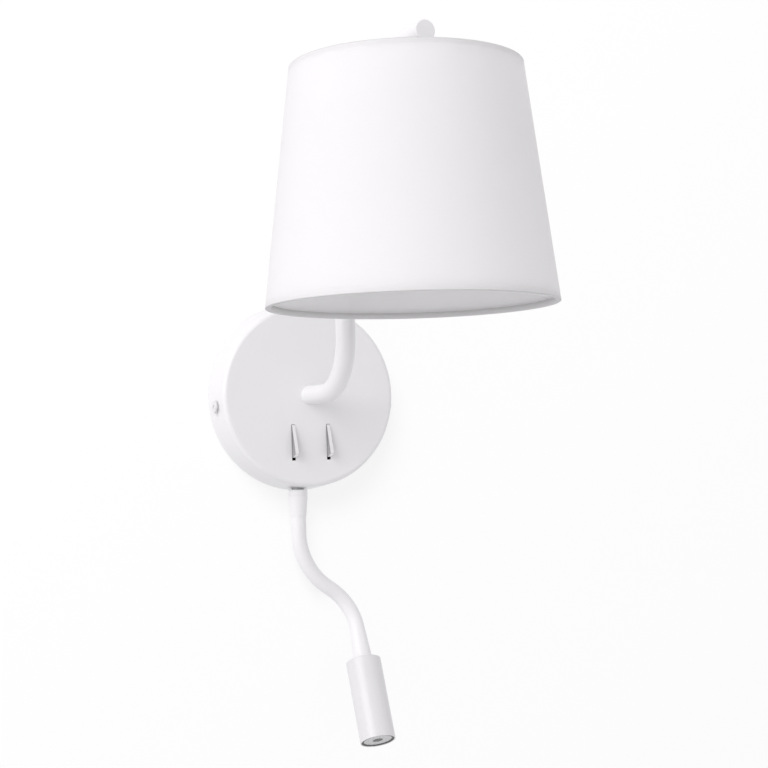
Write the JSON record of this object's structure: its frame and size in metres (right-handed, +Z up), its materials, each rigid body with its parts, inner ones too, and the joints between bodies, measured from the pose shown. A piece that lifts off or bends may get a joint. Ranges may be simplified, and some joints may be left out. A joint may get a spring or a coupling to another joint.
{
  "type": "wall reading lamp",
  "caption": "Wall lamp with a round canopy, a bent tube arm carrying a tapered fabric shade, rocker switches, and a flexible neck with a small reading head.",
  "frame": {"origin": "middle of the wall bracket's two fixing slots, on the wall plane", "axes": "+Z up, -Y straight out from the wall into the room, +X to the right as seen from the room"},
  "size_m": [0.17, 0.2665, 0.4333],
  "materials": {
    "white_metal": "satin white powder coat",
    "white_wire": "white painted wire",
    "zinc_steel": "zinc plated",
    "screw_steel": "nickel plated",
    "brass": "plain brass",
    "shade_fabric": "fine plain weave",
    "shade_trim": "folded hem strip",
    "shade_lining": "matt laminate",
    "white_plastic": "moulded, light gloss",
    "core_plastic": "moulded, matt",
    "black_plastic": "moulded, matt",
    "bulb_opal": "opal diffuser",
    "bulb_metal": "drawn screw cap",
    "lead_sleeve": "extruded sheath",
    "neck_skin": "flexible tube in a smooth white skin",
    "bare_aluminium": "turned",
    "chip_resin": "phosphor resin",
    "clear_lens": "clear moulded lens"
  },
  "bodies": {
    "fixture": {"wall_bracket": "zinc_steel", "earth_screw": "brass", "canopy": "white_metal", "canopy_side_screws": "screw_steel", "arm_tube": "white_metal", "arm_end_cap": "white_metal", "arm_stud": "zinc_steel", "arm_washer": "zinc_steel", "arm_nut": "zinc_steel", "shade_cover": "shade_fabric", "shade_liner": "shade_lining", "shade_top_trim": "shade_trim", "shade_bottom_trim": "shade_trim", "shade_bottom_ring": "white_wire", "shade_carrier": "white_wire", "shade_clamp_ring": "white_plastic", "holder_nipple": "zinc_steel", "holder_cap": "white_plastic", "holder_body": "white_plastic", "holder_core": "core_plastic", "holder_screw_shell": "brass", "holder_contact": "brass", "bulb_contact": "brass", "bulb_cap": "bulb_metal", "bulb_body": "white_plastic", "bulb_globe": "bulb_opal", "switch_housing_left": "black_plastic", "switch_housing_right": "black_plastic", "switch_tags": "brass", "led_driver": "core_plastic", "terminal_block": "core_plastic", "lamp_lead": "lead_sleeve", "reader_lead": "lead_sleeve", "neck_upper_sleeve": "white_metal", "neck_stud": "zinc_steel", "neck_nut": "zinc_steel", "neck_hose_1": "neck_skin"},
    "rocker_left": {"rocker_left": "white_plastic"},
    "rocker_right": {"rocker_right": "white_plastic"},
    "neck_a": {"neck_hose_2": "neck_skin"},
    "neck_b": {"neck_hose_3": "neck_skin"},
    "neck_c": {"neck_hose_4": "neck_skin"},
    "reading_head": {"neck_hose_5": "neck_skin", "neck_lower_sleeve": "white_metal", "head_body": "white_metal", "head_nut": "zinc_steel", "heat_slug": "bare_aluminium", "led_board": "bare_aluminium", "led_chip": "chip_resin", "reading_lens": "clear_lens", "lens_ring": "black_plastic"}
  },
  "joints": [
    {"name": "rocker_left_press", "type": "hinge", "parent": "fixture", "child": "rocker_left", "pos_m": [-0.0124, -0.02, -0.0309], "axis": [1, 0, 0], "range_deg": [0, 34]},
    {"name": "rocker_right_press", "type": "hinge", "parent": "fixture", "child": "rocker_right", "pos_m": [0.0124, -0.02, -0.0309], "axis": [1, 0, 0], "range_deg": [0, 34]},
    {"name": "neck_swing_upper", "type": "hinge", "parent": "fixture", "child": "neck_a", "pos_m": [-0.0058, -0.0115, -0.09052], "axis": [0, 1, 0], "range_deg": [-30, 30], "deforming": ["neck_hose_2"]},
    {"name": "neck_lift_upper", "type": "hinge", "parent": "neck_a", "child": "neck_b", "pos_m": [-0.00102, -0.0115, -0.11047], "axis": [-0.8913, 0, -0.4534], "range_deg": [-5, 45], "deforming": ["neck_hose_3"]},
    {"name": "neck_swing_lower", "type": "hinge", "parent": "neck_b", "child": "neck_c", "pos_m": [0.01497, -0.0115, -0.12803], "axis": [0, 1, 0], "range_deg": [-30, 30], "deforming": ["neck_hose_4"]},
    {"name": "neck_lift_lower", "type": "hinge", "parent": "neck_c", "child": "reading_head", "pos_m": [0.02781, -0.01363, -0.14172], "axis": [-0.8876, 0, -0.4606], "range_deg": [-10, 45], "deforming": ["neck_hose_5"]}
  ]
}
